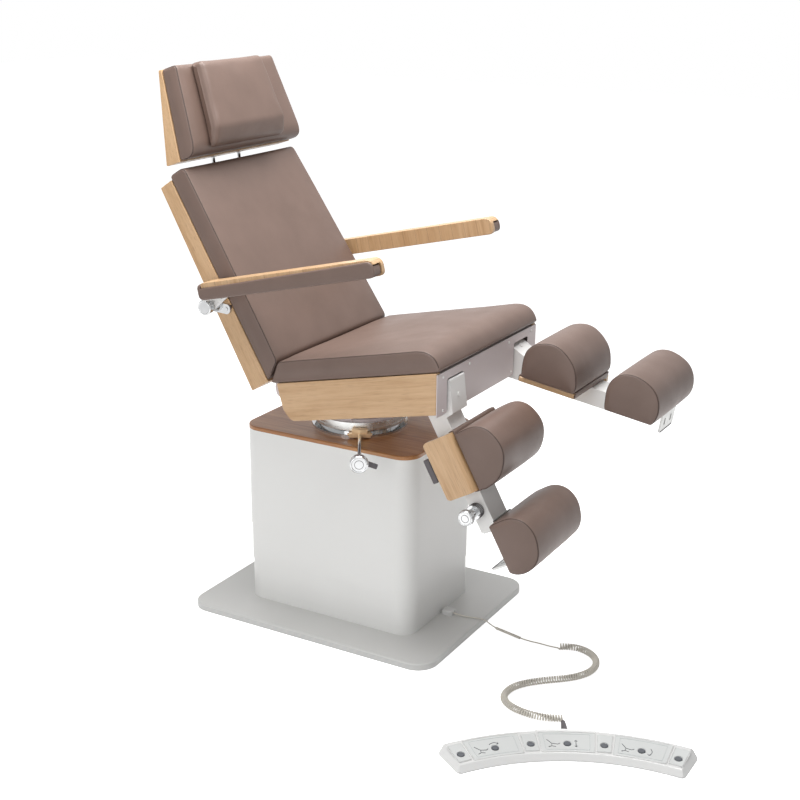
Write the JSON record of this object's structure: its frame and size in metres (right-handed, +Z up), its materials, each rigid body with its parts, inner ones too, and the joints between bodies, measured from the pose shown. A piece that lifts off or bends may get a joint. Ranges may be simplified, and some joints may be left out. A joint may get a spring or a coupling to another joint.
{
  "type": "podiatry chair",
  "caption": "Electric podiatry treatment chair: telescopic lift column, swivel seat, reclining back, headrest, folding arms, split leg rests and a wired foot control.",
  "frame": {"origin": "on the floor, on the vertical swivel axis at the middle of the column", "axes": "+X towards where the patient faces, +Y the patient's left, +Z up from the floor"},
  "size_m": [1.6857, 1.0602, 1.5838],
  "materials": {
    "plate_paint": "satin light warm grey",
    "housing_paint": "satin white",
    "arm_paint": "white powder coat",
    "frame_paint": "satin mauve grey",
    "column_steel": "brushed",
    "turntable_steel": "turned steel",
    "oak": "clear-lacquered light oak",
    "walnut": "lacquered, darker",
    "upholstery": "taupe leatherette",
    "chrome": "polished",
    "brass": "satin",
    "dark_plastic": "matte dark grey",
    "pedal_shell": "moulded white",
    "pedal_film": "pale green",
    "button_rubber": "dark grey",
    "socket_plastic": "white",
    "cord_jacket": "light warm grey"
  },
  "bodies": {
    "base": {"base_plate": "plate_paint", "lower_housing": "housing_paint", "lift_pillar_lower": "column_steel", "pedal_socket": "socket_plastic", "cord_lead": "cord_jacket", "inline_sleeve": "cord_jacket", "cord_tail": "cord_jacket", "coil_cord": "cord_jacket", "pedal_base": "dark_plastic", "pedal_cover": "pedal_shell", "pedal_panels": "pedal_film", "pedal_strain_relief": "cord_jacket"},
    "middle": {"middle_housing": "housing_paint"},
    "lift": {"upper_housing": "housing_paint", "top_cover": "walnut", "turntable_base": "chrome", "brake_clamp": "brass"},
    "brake": {"brake_knob": "chrome", "brake_lever": "dark_plastic"},
    "swivel": {"turntable_drum": "turntable_steel", "tilt_carrier": "frame_paint"},
    "seat": {"seat_frame": "frame_paint", "side_panels": "oak", "front_apron": "frame_paint", "seat_cushion": "upholstery"},
    "back": {"back_frame": "frame_paint", "back_shell": "oak", "back_cushion": "upholstery", "arm_pivots": "chrome"},
    "head_slide": {"head_rods": "chrome"},
    "head": {"head_shell": "oak", "head_cushion": "upholstery", "head_pillow": "upholstery"},
    "button_1": {"pedal_button_1": "button_rubber"},
    "button_2": {"pedal_button_2": "button_rubber"},
    "button_3": {"pedal_button_3": "button_rubber"},
    "button_4": {"pedal_button_4": "button_rubber"},
    "button_5": {"pedal_button_5": "button_rubber"},
    "button_6": {"pedal_button_6": "button_rubber"},
    "button_7": {"pedal_button_7": "button_rubber"},
    "arm_right": {"arm_bracket_right": "arm_paint", "arm_board_right": "oak", "arm_pad_right": "upholstery"},
    "leg_right": {"leg_bar_right": "arm_paint", "calf_board_right": "oak", "calf_roll_right": "upholstery"},
    "handle_right": {"calf_handle_right": "dark_plastic"},
    "clamp_right": {"leg_knob_right": "chrome"},
    "foot_right": {"foot_slide_right": "chrome", "foot_roll_right": "upholstery"},
    "arm_left": {"arm_bracket_left": "arm_paint", "arm_board_left": "oak", "arm_pad_left": "upholstery"},
    "leg_left": {"leg_bar_left": "arm_paint", "calf_board_left": "oak", "calf_roll_left": "upholstery"},
    "handle_left": {"calf_handle_left": "dark_plastic"},
    "clamp_left": {"leg_knob_left": "chrome"},
    "foot_left": {"foot_slide_left": "chrome", "foot_roll_left": "upholstery"}
  },
  "joints": [
    {"name": "lift_slide", "type": "slide", "parent": "base", "child": "lift", "axis": [0, 0, 1], "range_m": [-0.225, 0.2]},
    {"name": "middle_slide", "type": "slide", "parent": "base", "child": "middle", "axis": [0, 0, 1], "range_m": [-0.1125, 0.1]},
    {"name": "brake_screw", "type": "hinge", "parent": "lift", "child": "brake", "pos_m": [0.15451, -0.25715, 0.5725], "axis": [0.515, -0.8572, 0], "range_deg": [-180, 180]},
    {"name": "seat_swivel", "type": "hinge", "parent": "lift", "child": "swivel", "pos_m": [0, 0, 0.59], "axis": [0, 0, 1], "range_deg": [-90, 90]},
    {"name": "seat_tilt", "type": "hinge", "parent": "swivel", "child": "seat", "pos_m": [0, 0, 0.64], "axis": [0, -1, 0], "range_deg": [-12, 8]},
    {"name": "back_recline", "type": "hinge", "parent": "seat", "child": "back", "pos_m": [-0.105, 0, 0.712], "axis": [0, -1, 0], "range_deg": [0, 50]},
    {"name": "head_height", "type": "slide", "parent": "back", "child": "head_slide", "axis": [-0.0698, 0, 0.9976], "range_m": [-0.005, 0.025]},
    {"name": "head_tilt", "type": "hinge", "parent": "head_slide", "child": "head", "pos_m": [-0.46, 0, 1.345], "axis": [0, -1, 0], "range_deg": [-10, 45]},
    {"name": "arm_fold_right", "type": "hinge", "parent": "back", "child": "arm_right", "pos_m": [-0.302, -0.301, 0.936], "axis": [0, -1, 0], "range_deg": [0, 100]},
    {"name": "arm_fold_left", "type": "hinge", "parent": "back", "child": "arm_left", "pos_m": [-0.302, 0.301, 0.936], "axis": [0, -1, 0], "range_deg": [0, 100]},
    {"name": "leg_lift_right", "type": "hinge", "parent": "seat", "child": "leg_right", "pos_m": [0.384, -0.199, 0.781], "axis": [0, 1, 0], "range_deg": [-66, 24]},
    {"name": "foot_reach_right", "type": "slide", "parent": "leg_right", "child": "foot_right", "axis": [0.4848, 0, -0.8746], "range_m": [0, 0.15]},
    {"name": "leg_clamp_right", "type": "hinge", "parent": "leg_right", "child": "clamp_right", "pos_m": [0.50833, -0.28, 0.47833], "axis": [0, 1, 0], "range_deg": [-180, 180]},
    {"name": "leg_release_right", "type": "hinge", "parent": "leg_right", "child": "handle_right", "pos_m": [0.41636, -0.266, 0.59885], "axis": [0, 1, 0], "range_deg": [0, 12], "stiffness_Nm_per_rad": 1.5, "springref_deg": -8.59},
    {"name": "leg_lift_left", "type": "hinge", "parent": "seat", "child": "leg_left", "pos_m": [0.384, 0.199, 0.781], "axis": [0, 1, 0], "range_deg": [-14, 76]},
    {"name": "foot_reach_left", "type": "slide", "parent": "leg_left", "child": "foot_left", "axis": [0.9877, 0, -0.1564], "range_m": [0, 0.15]},
    {"name": "leg_clamp_left", "type": "hinge", "parent": "leg_left", "child": "clamp_left", "pos_m": [0.69905, 0.28, 0.69263], "axis": [0, 1, 0], "range_deg": [-180, 180]},
    {"name": "leg_release_left", "type": "hinge", "parent": "leg_left", "child": "handle_left", "pos_m": [0.54746, 0.266, 0.69436], "axis": [0, 1, 0], "range_deg": [0, 12], "stiffness_Nm_per_rad": 1.5, "springref_deg": -8.59},
    {"name": "button_press_1", "type": "slide", "parent": "base", "child": "button_1", "axis": [0, 0, -1], "range_m": [0, 0.002], "stiffness_N_per_m": 400, "springref_m": -0.0005},
    {"name": "button_press_2", "type": "slide", "parent": "base", "child": "button_2", "axis": [0, 0, -1], "range_m": [0, 0.002], "stiffness_N_per_m": 400, "springref_m": -0.0005},
    {"name": "button_press_3", "type": "slide", "parent": "base", "child": "button_3", "axis": [0, 0, -1], "range_m": [0, 0.002], "stiffness_N_per_m": 400, "springref_m": -0.0005},
    {"name": "button_press_4", "type": "slide", "parent": "base", "child": "button_4", "axis": [0, 0, -1], "range_m": [0, 0.002], "stiffness_N_per_m": 400, "springref_m": -0.0005},
    {"name": "button_press_5", "type": "slide", "parent": "base", "child": "button_5", "axis": [0, 0, -1], "range_m": [0, 0.002], "stiffness_N_per_m": 400, "springref_m": -0.0005},
    {"name": "button_press_6", "type": "slide", "parent": "base", "child": "button_6", "axis": [0, 0, -1], "range_m": [0, 0.002], "stiffness_N_per_m": 400, "springref_m": -0.0005},
    {"name": "button_press_7", "type": "slide", "parent": "base", "child": "button_7", "axis": [0, 0, -1], "range_m": [0, 0.002], "stiffness_N_per_m": 400, "springref_m": -0.0005}
  ],
  "couplings": [
    {"joint": "middle_slide", "follows": "lift_slide", "ratio": 0.5}
  ]
}
